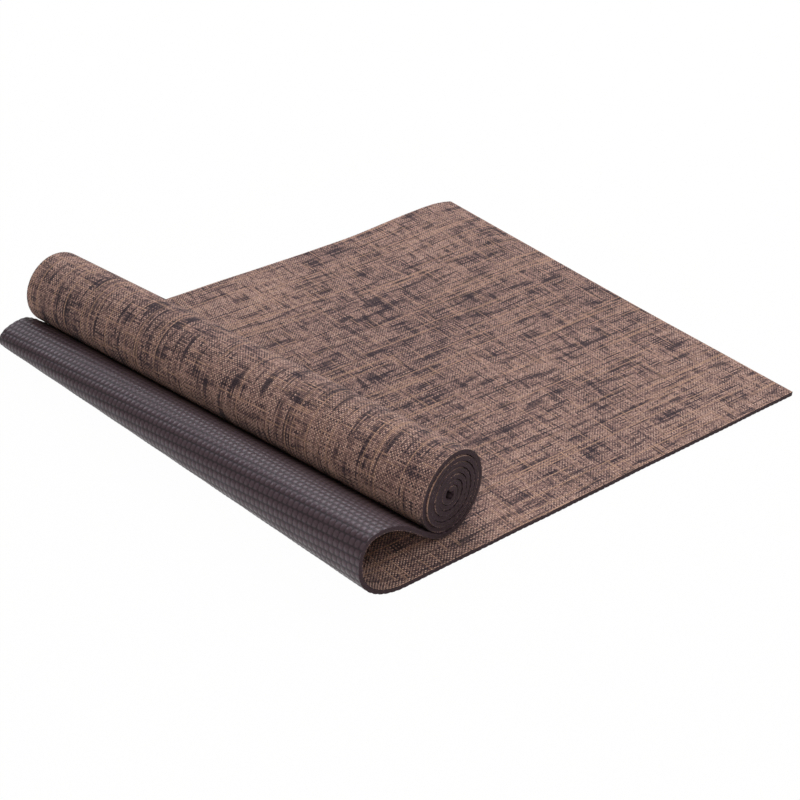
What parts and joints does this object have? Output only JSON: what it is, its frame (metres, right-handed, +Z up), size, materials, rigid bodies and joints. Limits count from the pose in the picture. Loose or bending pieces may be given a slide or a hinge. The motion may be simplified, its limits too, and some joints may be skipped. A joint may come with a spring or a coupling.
{
  "type": "yoga mat",
  "caption": "Jute-faced foam yoga mat lying partly unrolled: a flat run, a fold turned over at one end, and the rest wound into a roll that lifts about the fold.",
  "frame": {"origin": "on the underside of the flat run, midway across the width and midway along its front edge", "axes": "+X along the flat run towards the free end, +Y across the width away from the viewer, +Z up from the surface that the mat lies on"},
  "size_m": [0.6799, 0.639, 0.0983],
  "materials": {
    "jute": "coarse plain weave of tan jute yarn over a dark ground",
    "foam": "closed-cell foam, dark purple-brown, cut matt at the edges",
    "scrim": "thin polyester net, sealed between the foams",
    "embossed_foam": "closed-cell foam, dark purple-brown, semi-gloss, embossed with staggered pads"
  },
  "bodies": {
    "flat_run": {"jute_facing_flat": "jute", "top_foam_flat": "foam", "scrim_flat": "scrim", "base_foam_flat": "embossed_foam"},
    "rolled_end": {"jute_facing_roll": "jute", "top_foam_roll": "foam", "scrim_roll": "scrim", "base_foam_roll": "embossed_foam"}
  },
  "joints": [
    {"name": "fold_lift", "type": "hinge", "parent": "flat_run", "child": "rolled_end", "pos_m": [-0.36695, 0.00114, 0.03103], "axis": [0.1207, -0.9923, 0.0291], "range_deg": [0, 90]}
  ]
}
